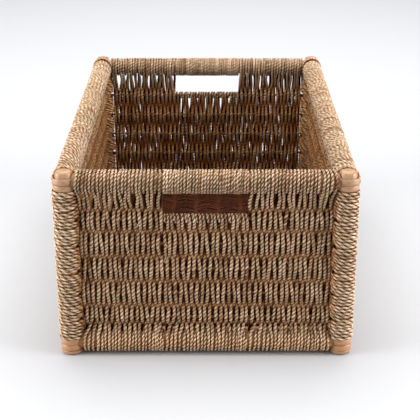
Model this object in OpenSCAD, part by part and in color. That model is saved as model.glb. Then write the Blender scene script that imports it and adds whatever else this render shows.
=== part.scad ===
// Rectangular storage basket: a frame of round rattan poles, walls and base of
// twisted seagrass cord woven on thin rods, corner posts wound with the same cord.
// Origin at the middle of the footprint on the floor. X is the width, Y runs from
// the front wall (-Y) to the back wall (+Y), Z is up. Millimetres.

/* [Overall] */
// Outside width, measured over the windings of two corner posts
basket_w = 300; // [250:1:380]
// Outside depth, measured over the windings of two corner posts
basket_d = 450; // [360:1:600]
// Height from the floor to the top of the post caps
basket_h = 200; // [165:1:260]

/* [Posts and rails] */
// Diameter of the corner post poles
post_d = 18.5; // [18:0.5:22.5]
// Radius worked on both ends of a post
post_round = 4.5; // [3:0.25:5.5]
// Diameter of the top and bottom rail poles
rail_d = 17; // [13:0.5:17.5]
// Distance from the top of the basket down to the axis of the top rails
top_rail_drop = 13; // [12:0.5:16]
// Height of the axis of the bottom rails above the floor
bottom_rail_z = 13.5; // [12.5:0.5:18]

/* [Wall rods] */
// Diameter of the thin rods that the walls are woven on
rod_d = 3; // [2:0.25:4]
// Number of rods in each wall
rod_count = 5; // [3:1:7]
// Distance from the axis of the top rail down to the first rod
top_rod_drop = 38.5; // [32:0.5:46]
// Distance from the axis of the bottom rail up to the last rod
low_rod_rise = 26.5; // [22:0.5:34]
// Depth of a rod's socket in a post
socket_depth = 6; // [4:0.25:6.5]

/* [Seagrass cord and cane peel] */
// Diameter of the twisted seagrass cord
cord_d = 3; // [2:0.25:3.5]
// Width of the hand holes in the front and back walls
hand_w = 85; // [70:1:110]
// Thickness of one layer of cane peel
peel_t = 1; // [0.5:0.1:1.2]
// Width of the peel strip folded over the top of a post
cap_w = 15.5; // [10:0.5:17]
// Height of the cap that shows above the peel band
cap_show = 7.5; // [6:0.25:9]
// Height of the band of peel wound below a cap
band_h = 12.8; // [8:0.2:14]
// Height of the peel wound round a foot
foot_h = 17.8; // [12:0.2:24]

/* [Base] */
// Diameter of the poles of the base frame
base_pole_d = 10; // [8:0.5:11]
// Number of rods in the base
base_rod_count = 7; // [3:1:10]
// Depth of a base rod's socket in an end pole
base_socket = 3; // [2:0.25:4]

/* [Nails] */
// Shank diameter of the nails
nail_d = 1.6; // [1.2:0.1:2]
// Head diameter of the nails
nail_head_d = 3.6; // [3:0.1:4.5]
// Head thickness of the nails
nail_head_t = 0.8; // [0.6:0.1:1.2]
// Length of a nail that joins a rail to a post
nail_len = 40; // [32:1:50]
// Length of a nail at a corner of the base frame
base_nail_len = 20; // [14:1:26]
// How far a nail lies above or below the axis of its rail
nail_offset = 2.5; // [2:0.25:3.5]

/* [Clearances] */
// Clearance between a pole or rod and what is wound or coped round it
wrap_gap = 0.1; // [0.05:0.05:0.3]
// Clearance between two wound pieces that lie side by side
side_gap = 0.3; // [0.1:0.1:1]
// Clearance round a nail's shank
nail_gap = 0.05; // [0.02:0.01:0.1]

/* [Hidden] */
$fn = 48;

rattan = [0.74, 0.52, 0.33];
seagrass = [0.68, 0.56, 0.40];
cane = [0.80, 0.63, 0.45];
steel = [0.70, 0.70, 0.72];

post_r = post_d / 2;
rail_r = rail_d / 2;
rod_r = rod_d / 2;
base_pole_r = base_pole_d / 2;

// Outer radius of cord wound on a pole, and half the thickness of a woven wall
wound_r = post_r + wrap_gap + cord_d;
wrapped_rail_r = rail_r + wrap_gap + cord_d;
wrapped_pole_r = base_pole_r + wrap_gap + cord_d;
wall_half = rod_r + wrap_gap + cord_d;

// Axes of the posts and rails
post_x = basket_w / 2 - wound_r;
post_y = basket_d / 2 - wound_r;
top_rail_z = basket_h - top_rail_drop;

// Heights of the wall rods, from the top one down
top_rod_z = top_rail_z - top_rod_drop;
rod_pitch = (top_rod_z - bottom_rail_z - low_rod_rise) / (rod_count - 1);
rod_z = [for (i = [0 : rod_count - 1]) top_rod_z - i * rod_pitch];

// Peel at the ends of the posts
cap_r = post_r + wrap_gap + peel_t;
band_in = cap_r + wrap_gap;
band_r = band_in + peel_t;
band_top = basket_h - cap_show;
band_low = band_top - band_h;
foot_r = post_r + wrap_gap + 2 * peel_t;

// Lengths of the woven walls and their places between the posts
front_len = 2 * (post_x - wound_r - side_gap);
side_len = 2 * (post_y - wound_r - side_gap);

// Base frame, set between the wrapped bottom rails
base_x = post_x - wrapped_rail_r - side_gap - wrapped_pole_r;
base_pole_end = post_y - wrapped_rail_r - side_gap;
base_end_y = base_pole_end - base_pole_r;
base_len = 2 * (base_end_y - base_pole_r - side_gap);
base_rod_pitch = 2 * base_x / (base_rod_count + 1);
tie_x = base_x - 1.5 * base_rod_pitch;

// How far a nail's head sits from the axis of a post, and of a base pole
head_r = nail_head_d / 2 + nail_gap;
post_sink = sqrt(pow(post_r, 2) - pow(head_r, 2));
pole_sink = sqrt(pow(base_pole_r, 2) - pow(head_r, 2));
tie_nail_len = pole_sink + base_pole_r + side_gap + cord_d + rail_r;

// A cylinder along X, centred on the origin
module bar(r, len) {
    rotate([0, 90, 0]) cylinder(r = r, h = len, center = true);
}

// Turns a wall or rail made along X to the front, back, left or right side
module on_side(side) {
    if (side == "front") translate([0, -post_y, 0]) children();
    if (side == "back") translate([0, post_y, 0]) rotate([0, 0, 180]) children();
    if (side == "left") translate([-post_x, 0, 0]) rotate([0, 0, -90]) children();
    if (side == "right") translate([post_x, 0, 0]) rotate([0, 0, 90]) children();
}

// Puts a corner piece, made for the front left corner, at corner sx, sy
module at_corner(sx, sy) {
    translate([sx * post_x, sy * post_y, 0])
        mirror([sx > 0 ? 1 : 0, 0, 0])
            mirror([0, sy > 0 ? 1 : 0, 0])
                children();
}

// Half outline of a round bar of radius r and height h with a rounded top edge
module rounded_top(r, h, round_r) {
    square([r - round_r, h]);
    square([r, h - round_r]);
    translate([r - round_r, h - round_r]) intersection() {
        circle(round_r);
        square(round_r);
    }
}

// Half outline of the rounded foot, from the floor up to height h
module foot_outline(h) {
    square([foot_r - post_round, h]);
    translate([0, post_round]) square([foot_r, h - post_round]);
    translate([foot_r - post_round, post_round]) intersection() {
        circle(post_round);
        translate([0, -post_round]) square(post_round);
    }
}

// The two rails that meet a front left post, grown by a clearance
module rails_at_corner(z, clear) {
    reach = wound_r + side_gap;
    translate([reach / 2, 0, z]) bar(rail_r + clear, reach);
    translate([0, reach / 2, z]) rotate([0, 0, 90]) bar(rail_r + clear, reach);
}

// A nail along +X, its head's outer face at the origin
module nail(len) {
    rotate([0, 90, 0]) {
        cylinder(r = nail_head_d / 2, h = nail_head_t);
        cylinder(r = nail_d / 2, h = len);
    }
}

// The hole for that nail, with its counterbore open to the outside
module nail_hole(len) {
    rotate([0, 90, 0]) {
        translate([0, 0, -nail_head_d]) cylinder(r = head_r, h = nail_head_d + nail_head_t);
        cylinder(r = nail_d / 2 + nail_gap, h = len + nail_gap);
    }
}

// Puts two nails or holes at a front left post, one along each rail at height z
module along_rails(z) {
    translate([-post_sink, 0, z + nail_offset]) children();
    translate([0, -post_sink, z - nail_offset]) rotate([0, 0, 90]) children();
}

// The sockets for the rods of two walls in a front left post
module rod_sockets() {
    far = post_r + 1;
    near = post_r - socket_depth;
    for (z = rod_z) for (turn = [0, 90])
        rotate([0, 0, turn]) translate([(near + far) / 2, 0, z])
            bar(rod_r + wrap_gap, far - near);
}

module corner_post() {
    color(rattan) difference() {
        intersection() {
            rotate_extrude() foot_outline(basket_h);
            rotate_extrude() rounded_top(post_r, basket_h - peel_t - wrap_gap, post_round);
        }
        rod_sockets();
        along_rails(top_rail_z) nail_hole(nail_len);
        along_rails(bottom_rail_z) nail_hole(nail_len);
    }
}

// A strip of peel folded over the post's rounded top, with one leg on its outer face,
// notched beside the rail
module cap() {
    leg_low = band_low + side_gap;
    color(cane) difference() {
        intersection() {
            rotate_extrude() difference() {
                rounded_top(cap_r, basket_h, post_round + wrap_gap + peel_t);
                rounded_top(post_r + wrap_gap, basket_h - peel_t, post_round + wrap_gap);
                square([cap_r + 1, leg_low]);
            }
            translate([-cap_w / 2, -cap_r - 1, 0])
                cube([cap_w, cap_r + 1 + post_r - post_round, basket_h + 1]);
        }
        rails_at_corner(top_rail_z, wrap_gap);
    }
}

// Peel wound round the outside of the post, over the cap's leg, from rail to rail
module peel_band() {
    color(cane) difference() {
        translate([0, 0, band_low]) cylinder(r = band_r, h = band_h);
        cylinder(r = band_in, h = basket_h);
        rails_at_corner(top_rail_z, wrap_gap);
        translate([0, 0, band_low - 1]) cube([band_r + 1, band_r + 1, band_h + 2]);
    }
}

// Two layers of peel wound round the foot and notched for the bottom rails
module foot_peel() {
    color(cane) difference() {
        rotate_extrude() difference() {
            foot_outline(foot_h);
            square([post_r + wrap_gap, foot_h + 1]);
        }
        rails_at_corner(bottom_rail_z, wrap_gap);
        translate([0, 0, bottom_rail_z]) cube([foot_r + 1, foot_r + 1, foot_h]);
    }
}

// Cord wound on a post, in groups that leave room for the rods between them
module winding() {
    half_slot = rod_r + wrap_gap;
    lows = [for (i = [1 : rod_count]) rod_z[rod_count - i] + half_slot];
    tops = [for (i = [1 : rod_count]) rod_z[rod_count - i] - half_slot];
    starts = concat([foot_h + wrap_gap], lows);
    ends = concat(tops, [band_low - wrap_gap]);
    color(seagrass) difference() {
        for (i = [0 : rod_count]) translate([0, 0, starts[i]]) difference() {
            cylinder(r = wound_r, h = ends[i] - starts[i]);
            translate([0, 0, -1]) cylinder(r = post_r + wrap_gap, h = ends[i] - starts[i] + 2);
        }
        rails_at_corner(top_rail_z, wrap_gap);
        rails_at_corner(bottom_rail_z, wrap_gap);
    }
}

// A rail along X between two posts, coped to fit against them and mitred on the
// inside where it meets the next rail; a tied rail also takes the nails of the base
module rail(half_span, z, nail_dz, tied = false) {
    color(rattan) translate([0, 0, z]) difference() {
        bar(rail_r, 2 * half_span);
        for (s = [-1, 1]) translate([s * half_span, 0, 0]) mirror([s > 0 ? 1 : 0, 0, 0]) {
            cylinder(r = post_r + wrap_gap, h = 2 * rail_d, center = true);
            rotate([0, 0, 45]) translate([0, -wrap_gap / 2, -rail_d]) cube(2 * rail_d);
        }
        for (s = [-1, 1]) translate([s * (half_span + post_sink - nail_len / 2), 0, nail_dz])
            bar(nail_d / 2 + nail_gap, nail_len + 2 * nail_gap);
        if (tied) base_tie_holes();
    }
}

// Holes for the nails that tie the base frame to the front and back bottom rails,
// in the frame of a rail along X with the inside of the basket towards +Y
module base_tie_holes() {
    for (s = [-1, 1]) translate([s * tie_x, wrapped_rail_r / 2, 0])
        rotate([0, 0, 90]) bar(nail_d / 2 + nail_gap, wrapped_rail_r + 2 * nail_gap);
}

// The rods of one wall, along X, each with its ends in the sockets of two posts
module wall_rods(half_span) {
    reach = half_span - post_r + socket_depth - wrap_gap;
    color(rattan) for (z = rod_z) translate([0, 0, z]) bar(rod_r, 2 * reach);
}

// One woven wall along X: cord round both rails and in and out of the rods
module weave(len, hand_hole) {
    hole_low = top_rod_z + wall_half;
    color(seagrass) difference() {
        union() {
            translate([0, 0, top_rail_z]) bar(wrapped_rail_r, len);
            translate([0, 0, bottom_rail_z]) bar(wrapped_rail_r, len);
            difference() {
                translate([-len / 2, -wall_half, bottom_rail_z])
                    cube([len, 2 * wall_half, top_rail_z - bottom_rail_z]);
                if (hand_hole) translate([-hand_w / 2, -wall_half - 1, hole_low])
                    cube([hand_w, 2 * wall_half + 2, top_rail_z - hole_low]);
            }
        }
        for (z = [bottom_rail_z, top_rail_z]) translate([0, 0, z]) bar(rail_r + wrap_gap, len + 2);
        for (z = rod_z) translate([0, 0, z]) bar(rod_r + wrap_gap, len + 2);
        if (hand_hole) translate([0, 0, bottom_rail_z]) base_tie_holes();
    }
}

// A side pole of the base frame, along Y, with a nail hole for each end pole
module base_side_pole(s) {
    color(rattan) translate([s * base_x, 0, bottom_rail_z]) difference() {
        rotate([0, 0, 90]) bar(base_pole_r, 2 * base_pole_end);
        for (t = [-1, 1]) translate([0, t * base_end_y, 0])
            from_side_pole(s) nail_hole(base_nail_len);
    }
}

// Puts a nail or hole at the outside of base side pole s, pointing into an end pole
module from_side_pole(s) {
    mirror([s > 0 ? 1 : 0, 0, 0]) translate([-pole_sink, 0, 0]) children();
}

// Puts a nail or hole at the inside of the front end pole, pointing into the rail
module from_end_pole() {
    translate([0, pole_sink, 0]) rotate([0, 0, -90]) children();
}

// An end pole of the base frame, along X, with sockets for the base rods
module base_end_pole(t) {
    color(rattan) translate([0, t * base_end_y, bottom_rail_z]) difference() {
        bar(base_pole_r, 2 * base_x);
        for (s = [-1, 1]) translate([s * base_x, 0, 0]) {
            rotate([0, 0, 90]) bar(base_pole_r + wrap_gap, 2 * base_pole_d);
            from_side_pole(s) nail_hole(base_nail_len);
        }
        mirror([0, t > 0 ? 1 : 0, 0]) {
            for (s = [-1, 1]) translate([s * tie_x, 0, 0]) from_end_pole() nail_hole(tie_nail_len);
            for (i = [1 : base_rod_count])
                translate([i * base_rod_pitch - base_x, base_pole_r + 1 - base_socket / 2, 0])
                    rotate([0, 0, 90]) bar(rod_r + wrap_gap, base_socket + 2);
        }
    }
}

module base_rods() {
    reach = base_end_y - base_pole_r + base_socket - wrap_gap;
    color(rattan) for (i = [1 : base_rod_count])
        translate([i * base_rod_pitch - base_x, 0, bottom_rail_z])
            rotate([0, 0, 90]) bar(rod_r, 2 * reach);
}

// The woven base: cord round both side poles and in and out of the base rods
module weave_base() {
    color(seagrass) translate([0, 0, bottom_rail_z]) rotate([0, 0, 90]) difference() {
        union() {
            for (s = [-1, 1]) translate([0, s * base_x, 0]) bar(wrapped_pole_r, base_len);
            translate([-base_len / 2, -base_x, -wall_half])
                cube([base_len, 2 * base_x, 2 * wall_half]);
        }
        for (s = [-1, 1]) translate([0, s * base_x, 0])
            bar(base_pole_r + wrap_gap, base_len + 2);
        for (i = [1 : base_rod_count]) translate([0, i * base_rod_pitch - base_x, 0])
            bar(rod_r + wrap_gap, base_len + 2);
    }
}

module rail_nails(z) {
    color(steel) for (sx = [-1, 1]) for (sy = [-1, 1])
        at_corner(sx, sy) along_rails(z) nail(nail_len);
}

module base_nails() {
    color(steel) translate([0, 0, bottom_rail_z]) for (s = [-1, 1]) for (t = [-1, 1]) {
        translate([s * base_x, t * base_end_y, 0]) from_side_pole(s) nail(base_nail_len);
        translate([s * tie_x, t * base_end_y, 0])
            mirror([0, t > 0 ? 1 : 0, 0]) from_end_pole() nail(tie_nail_len);
    }
}

module post_front_left() { at_corner(-1, -1) corner_post(); }
module post_front_right() { at_corner(1, -1) corner_post(); }
module post_back_left() { at_corner(-1, 1) corner_post(); }
module post_back_right() { at_corner(1, 1) corner_post(); }

module top_rail_front() { on_side("front") rail(post_x, top_rail_z, nail_offset); }
module top_rail_back() { on_side("back") rail(post_x, top_rail_z, nail_offset); }
module top_rail_left() { on_side("left") rail(post_y, top_rail_z, -nail_offset); }
module top_rail_right() { on_side("right") rail(post_y, top_rail_z, -nail_offset); }

module bottom_rail_front() { on_side("front") rail(post_x, bottom_rail_z, nail_offset, true); }
module bottom_rail_back() { on_side("back") rail(post_x, bottom_rail_z, nail_offset, true); }
module bottom_rail_left() { on_side("left") rail(post_y, bottom_rail_z, -nail_offset); }
module bottom_rail_right() { on_side("right") rail(post_y, bottom_rail_z, -nail_offset); }

module rods_front() { on_side("front") wall_rods(post_x); }
module rods_back() { on_side("back") wall_rods(post_x); }
module rods_left() { on_side("left") wall_rods(post_y); }
module rods_right() { on_side("right") wall_rods(post_y); }

module weave_front() { on_side("front") weave(front_len, true); }
module weave_back() { on_side("back") weave(front_len, true); }
module weave_left() { on_side("left") weave(side_len, false); }
module weave_right() { on_side("right") weave(side_len, false); }

module winding_front_left() { at_corner(-1, -1) winding(); }
module winding_front_right() { at_corner(1, -1) winding(); }
module winding_back_left() { at_corner(-1, 1) winding(); }
module winding_back_right() { at_corner(1, 1) winding(); }

module cap_front_left() { at_corner(-1, -1) cap(); }
module cap_front_right() { at_corner(1, -1) cap(); }
module cap_back_left() { at_corner(-1, 1) cap(); }
module cap_back_right() { at_corner(1, 1) cap(); }

module peel_band_front_left() { at_corner(-1, -1) peel_band(); }
module peel_band_front_right() { at_corner(1, -1) peel_band(); }
module peel_band_back_left() { at_corner(-1, 1) peel_band(); }
module peel_band_back_right() { at_corner(1, 1) peel_band(); }

module foot_peel_front_left() { at_corner(-1, -1) foot_peel(); }
module foot_peel_front_right() { at_corner(1, -1) foot_peel(); }
module foot_peel_back_left() { at_corner(-1, 1) foot_peel(); }
module foot_peel_back_right() { at_corner(1, 1) foot_peel(); }

module base_side_pole_left() { base_side_pole(-1); }
module base_side_pole_right() { base_side_pole(1); }
module base_end_pole_front() { base_end_pole(-1); }
module base_end_pole_back() { base_end_pole(1); }

module top_rail_nails() { rail_nails(top_rail_z); }
module bottom_rail_nails() { rail_nails(bottom_rail_z); }

post_front_left();
post_front_right();
post_back_left();
post_back_right();
top_rail_front();
top_rail_back();
top_rail_left();
top_rail_right();
bottom_rail_front();
bottom_rail_back();
bottom_rail_left();
bottom_rail_right();
rods_front();
rods_back();
rods_left();
rods_right();
weave_front();
weave_back();
weave_left();
weave_right();
winding_front_left();
winding_front_right();
winding_back_left();
winding_back_right();
cap_front_left();
cap_front_right();
cap_back_left();
cap_back_right();
peel_band_front_left();
peel_band_front_right();
peel_band_back_left();
peel_band_back_right();
foot_peel_front_left();
foot_peel_front_right();
foot_peel_back_left();
foot_peel_back_right();
base_side_pole_left();
base_side_pole_right();
base_end_pole_front();
base_end_pole_back();
base_rods();
weave_base();
top_rail_nails();
bottom_rail_nails();
base_nails();
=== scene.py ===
"""Seagrass storage basket, laid out as an add-on.

Twisted seagrass cord is woven round the rails and rods of a rattan frame, wound round
the posts and finished with cane peel. Sizes inside the script are in millimetres and
become metres when a mesh is made. Every shape is worked out as whole numpy arrays.
"""

import math

import bpy
import numpy as np
from bpy.props import FloatProperty, FloatVectorProperty, IntProperty, PointerProperty
from mathutils import Euler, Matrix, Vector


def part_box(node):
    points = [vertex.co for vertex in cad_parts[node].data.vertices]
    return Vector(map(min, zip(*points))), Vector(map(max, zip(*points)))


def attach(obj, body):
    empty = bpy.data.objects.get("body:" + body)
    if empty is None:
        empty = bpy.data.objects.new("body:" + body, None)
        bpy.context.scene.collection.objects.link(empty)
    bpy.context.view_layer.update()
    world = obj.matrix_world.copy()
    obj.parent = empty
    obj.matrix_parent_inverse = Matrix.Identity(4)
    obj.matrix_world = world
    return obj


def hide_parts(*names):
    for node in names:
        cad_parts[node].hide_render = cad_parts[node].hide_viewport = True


bl_info = {
    "name": "Seagrass storage basket",
    "version": (1, 0, 0),
    "blender": (4, 5, 0),
    "location": "3D View > Sidebar > Basket",
    "description": "Weaves, winds and finishes a seagrass basket round its rattan frame",
    "category": "Add Mesh",
}

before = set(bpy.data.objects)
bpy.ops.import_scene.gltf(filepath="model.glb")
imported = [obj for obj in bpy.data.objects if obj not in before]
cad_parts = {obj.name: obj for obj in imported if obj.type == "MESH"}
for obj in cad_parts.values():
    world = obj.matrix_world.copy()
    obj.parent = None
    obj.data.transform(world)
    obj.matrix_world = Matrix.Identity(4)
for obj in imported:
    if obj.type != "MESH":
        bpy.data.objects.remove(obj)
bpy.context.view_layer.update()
MM = 1000.0
TAU = 2 * math.pi


def span(node):
    """Lowest and highest corner of a node, in millimetres."""
    low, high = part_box(node)
    return np.array(low) * MM, np.array(high) * MM


POST_LOW, POST_HIGH = span("post_front_left")
TOP_LOW, TOP_HIGH = span("top_rail_front")
LOW_LOW, LOW_HIGH = span("bottom_rail_front")
ROD_LOW, ROD_HIGH = span("rods_front")
POLE_LOW, POLE_HIGH = span("base_side_pole_left")
BASE_ROD_LOW, BASE_ROD_HIGH = span("base_rods")
WIND_LOW, WIND_HIGH = span("winding_front_left")
BAND_LOW, BAND_HIGH = span("peel_band_front_left")
FOOT_LOW, FOOT_HIGH = span("foot_peel_front_left")
CAP_LOW, CAP_HIGH = span("cap_front_left")

POST_R = (POST_HIGH[0] - POST_LOW[0]) / 2
POST_X = -(POST_HIGH[0] + POST_LOW[0]) / 2
POST_Y = -(POST_HIGH[1] + POST_LOW[1]) / 2
RAIL_R = (TOP_HIGH[2] - TOP_LOW[2]) / 2
TOP_Z = (TOP_HIGH[2] + TOP_LOW[2]) / 2
LOW_Z = (LOW_HIGH[2] + LOW_LOW[2]) / 2
ROD_R = (ROD_HIGH[1] - ROD_LOW[1]) / 2
POLE_R = (POLE_HIGH[0] - POLE_LOW[0]) / 2
BASE_X = -(POLE_HIGH[0] + POLE_LOW[0]) / 2
FRONT_LEN = span("weave_front")[1][0] * 2
SIDE_LEN = span("weave_left")[1][1] * 2
BASE_LEN = span("weave_base")[1][1] * 2
CAP_R = -POST_Y - CAP_LOW[1]
CAP_HALF_W = (CAP_HIGH[0] - CAP_LOW[0]) / 2
BAND_R = -POST_Y - BAND_LOW[1]
FOOT_R = -POST_Y - FOOT_LOW[1]

CORNERS = {
    "front_left": (-1, -1),
    "front_right": (1, -1),
    "back_left": (-1, 1),
    "back_right": (1, 1),
}

# Each wall: direction along it, direction outwards, distance from the middle, length
WALLS = {
    "front": ((1, 0, 0), (0, -1, 0), POST_Y, FRONT_LEN),
    "back": ((-1, 0, 0), (0, 1, 0), POST_Y, FRONT_LEN),
    "left": ((0, -1, 0), (-1, 0, 0), POST_X, SIDE_LEN),
    "right": ((0, 1, 0), (1, 0, 0), POST_X, SIDE_LEN),
}

# Share of the mean spacing of the strands, from one end of a wall to the other
SPACING = {
    "front": (1.0, 1.01, 1.06, 1.09, 1.05, 0.96, 0.91),
    "back": (0.98, 1.04, 1.02, 0.97, 1.05, 1.0, 0.95),
    "left": (1.02, 0.97, 1.0, 1.05, 1.01, 0.96, 1.0),
    "right": (0.97, 1.03, 1.0, 0.98, 1.04, 1.02, 0.97),
}

# Broken straws on the front wall: root x, y, z, way x, y, z, and length
STRAWS = (
    (-67.5, 0.0, 141.0, 0.15, -0.25, 0.95, 6.5),
    (-67.0, 0.0, 144.0, -0.5, -0.3, 0.8, 4.5),
    (-66.0, 0.0, 145.0, 0.6, -0.3, 0.6, 4.0),
    (-42.5, 0.0, 104.0, 0.8, -0.4, 0.5, 7.5),
    (-41.0, 0.0, 103.0, 0.55, -0.5, 0.7, 6.0),
    (-40.0, 0.0, 122.0, 0.75, -0.3, 0.25, 5.5),
    (36.0, 0.0, 128.0, 0.7, -0.4, -0.6, 6.5),
    (38.0, 0.0, 131.0, 0.5, -0.5, -0.8, 5.0),
)

# Section of a two-ply cord: angles in degrees and share of the full radius
SECTION_ANGLE = np.radians([-33.0, 33.0, 90.0, 147.0, 213.0, 270.0])
SECTION_R = np.array([1.0, 1.0, 0.76, 1.0, 1.0, 0.76])
# Points in the crease between the plies, where shade is painted, and the ply of each point
SECTION_CREASE = np.array([0.0, 0.0, 1.0, 0.0, 0.0, 1.0])
SECTION_PLY = np.array([1.0, 1.0, 0.0, -1.0, -1.0, 0.0])

# Painted shade on the cord: how dark it is painted in its crease, in a direction that is
# less than fully open, over a range of openness, and, in the middle of a wall, as if this
# far open on both sides
CREASE_PAINTED_SHADE = 0.72
FULLY_OPEN = 0.76
DARK_RANGE = 1.15
MIDDLE_OPEN = 0.4

# How fast the painted warm shade grows inside the basket
INSIDE_PAINTED_WARMTH = 2.2

# Distances in millimetres: between points of a strand's path, between rings of a wall's
# cord and of the base's, and from the axis of a wall to a strand that lies on its face
PATH_STEP = 0.7
RING_STEP = 1.12
BASE_RING_STEP = 1.6
FACE_OUT = 2.6

# Gap between the peel and the post or rail that it lies on
PEEL_GAP = 0.1

# How far wraps are stretched at the ends of a bay, and pushed over the rails' bare ends
FILL_REACH = 16.0
TOP_PUSH = 3.4
LOW_PUSH = 1.6

# Share of its diameter to which cord is pressed on a rail, in a wall and under the rim
RAIL_WIDTH = 0.84
WALL_WIDTH = 1.04
RIM_WIDTH = 0.94

# Painted light: the cord at the outside of the lower rails is painted this much paler and
# warmer; the cord on the posts is this much paler
LOW_PAINTED_LIGHT = 0.6
LOW_PAINTED_WARMTH = 0.55
WINDING_PALER = 0.26

# The bare stretch of the second rod at the front: its place, and how far strands are pushed
BARE_PLACE = -44.0
BARE_PUSH = 2.0


# ---------------------------------------------------------------- settings


def length_setting(name, description, default, low, high):
    """A length of the settings, in metres."""
    return FloatProperty(
        name=name,
        description=description,
        default=default,
        min=low,
        max=high,
        unit="LENGTH",
        precision=5,
    )


def count_setting(name, description, default, low, high):
    """A whole number of the settings."""
    return IntProperty(name=name, description=description, default=default, min=low, max=high)


class CordSettings(bpy.types.PropertyGroup):
    """Sizes of the seagrass cord and of the weaving."""

    cord_d: length_setting(
        "Cord diameter", "Diameter of the twisted seagrass cord", 0.0035, 0.002, 0.0036
    )
    lay: length_setting(
        "Lay", "Length along the cord in which its two plies turn once", 0.0078, 0.004, 0.015
    )
    winding_lay: length_setting(
        "Winding lay", "Lay of the cord that is wound on the posts", 0.015, 0.004, 0.02
    )
    wrap_gap: length_setting(
        "Wrap gap", "Gap between a pole and the cord wound on it", 0.0001, 0.0, 0.0005
    )
    front_strands: count_setting(
        "Front strands", "Number of strands in the front and back walls", 92, 40, 120
    )
    side_strands: count_setting(
        "Side strands", "Number of strands in the left and right walls", 146, 60, 190
    )
    base_strands: count_setting("Base strands", "Number of strands in the base", 116, 60, 160)
    hand_w: length_setting(
        "Hand hole width", "Width of the hand holes in the front and back walls", 0.085, 0.07, 0.11
    )
    rod_count: count_setting("Wall rods", "Number of rods in each wall", 5, 3, 7)
    base_rod_count: count_setting("Base rods", "Number of rods in the base", 7, 3, 9)
    winding_pitch: length_setting(
        "Winding pitch", "Distance between the turns of cord on a post", 0.0035, 0.0025, 0.0045
    )
    looseness: length_setting("Looseness", "How far strands wander sideways", 0.00032, 0.0, 0.001)
    fibre_count: count_setting(
        "Loose fibres", "Number of loose fibres that stand out of the cord", 900, 0, 3000
    )


class PeelSettings(bpy.types.PropertyGroup):
    """Sizes of the cane peel at the ends of the posts."""

    peel_t: length_setting(
        "Peel thickness", "Thickness of one strip of cane peel", 0.001, 0.0005, 0.0012
    )
    cap_strips: count_setting("Cap strips", "Number of strips side by side over a post's top", 3, 1, 5)
    band_turns: count_setting("Band turns", "Number of turns of peel below a cap", 2, 1, 6)
    foot_turns: count_setting("Foot turns", "Number of turns of peel round a foot", 2, 1, 6)


def colour_setting(name, description, *default):
    """A colour of the settings, as linear red, green and blue."""
    return FloatVectorProperty(
        name=name, description=description, default=default, subtype="COLOR", min=0.0, max=1.0
    )


class ColourSettings(bpy.types.PropertyGroup):
    """Colours of the finishes."""

    seagrass_tan: colour_setting("Seagrass tan", "Main colour of the cord", 0.585, 0.46, 0.34)
    seagrass_green: colour_setting("Seagrass green", "Strands that dried green", 0.53, 0.455, 0.315)
    seagrass_pink: colour_setting("Seagrass pink", "Strands that dried reddish", 0.605, 0.43, 0.325)
    seagrass_cream: colour_setting("Seagrass cream", "Bleached fibres", 0.86, 0.76, 0.63)
    seagrass_brown: colour_setting("Seagrass brown", "Darkest fibres", 0.2, 0.1, 0.045)
    pole_light: colour_setting("Pole light", "Light grain of the poles", 0.52, 0.28, 0.13)
    pole_dark: colour_setting("Pole dark", "Dark grain of the poles", 0.24, 0.095, 0.035)
    # The rods' grain colours: their own grain, painted darker as shade for rods deep in the weave
    core_grain_light_painted_shade: colour_setting("Rod light", "Light grain of the rods", 0.32, 0.15, 0.055)
    core_grain_dark_painted_shade: colour_setting("Rod dark", "Dark grain of the rods", 0.11, 0.045, 0.016)
    peel_light: colour_setting("Peel light", "Light grain of the peel", 0.54, 0.34, 0.195)
    peel_dark: colour_setting("Peel dark", "Dark grain of the peel", 0.27, 0.125, 0.05)
    foot_light: colour_setting("Foot light", "Light grain at the feet", 0.6, 0.31, 0.145)
    foot_dark: colour_setting("Foot dark", "Dark grain at the feet", 0.3, 0.13, 0.055)
    floor: colour_setting("Floor", "Colour of the floor", 0.48, 0.485, 0.5)
    # Painted light: the floor is painted paler far off
    floor_far_painted_light: colour_setting("Far floor", "Colour of the floor far off", 0.7, 0.705, 0.735)


class StageSettings(bpy.types.PropertyGroup):
    """Camera and light."""

    lens: FloatProperty(
        name="Lens", description="Focal length", default=95.0, min=20.0, max=200.0, unit="CAMERA"
    )
    camera_place: FloatVectorProperty(
        name="Camera place",
        description="Where the camera stands",
        default=(0.004, -1.2165, 0.571),
        subtype="TRANSLATION",
        size=3,
    )
    tilt: FloatProperty(
        name="Camera tilt",
        description="How far the camera looks down",
        default=math.radians(22.4),
        subtype="ANGLE",
    )
    sky: FloatProperty(
        name="Sky", description="Strength of the even white surroundings", default=0.3, min=0.0
    )
    top_power: FloatProperty(
        name="Top light", description="Power of the soft light above", default=62.0, unit="POWER"
    )
    side_power: FloatProperty(
        name="Side light", description="Power of each light at the side", default=32.0, unit="POWER"
    )


SETTINGS = {
    "basket_cord": CordSettings,
    "basket_peel": PeelSettings,
    "basket_colour": ColourSettings,
    "basket_stage": StageSettings,
}


# ---------------------------------------------------------------- shapes


def eased(share):
    """A smooth step from nought to one."""
    return share * share * (3 - 2 * share)


def wander(rng, s, step, size):
    """A random curve over the lengths s: a normal value every step, joined by smooth steps."""
    at = (s - s[0]) / step
    i = at.astype(int)
    f = eased(at - i)
    knots = rng.normal(0.0, size, i[-1] + 2)
    return knots[i] * (1 - f) + knots[i + 1] * f


def resampled(points, step):
    """The polyline with a point at every step of its length, and those lengths."""
    steps = np.linalg.norm(np.diff(points[:, :3], axis=0), axis=1)
    s = np.concatenate([[0.0], np.cumsum(steps)])
    t = np.linspace(0.0, s[-1], max(6, int(round(s[-1] / step)) + 1))
    return t, np.stack([np.interp(t, s, column) for column in points.T], axis=1)


def averaged(points, count):
    """Every point moved to the mean of the count points round it; the ends are held."""
    half = count // 2
    padded = np.concatenate(
        [np.repeat(points[:1], half, axis=0), points, np.repeat(points[-1:], half, axis=0)]
    )
    sums = np.cumsum(np.concatenate([np.zeros((1, points.shape[1])), padded]), axis=0)
    width = 2 * half + 1
    return (sums[width:] - sums[:-width]) / width


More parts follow.
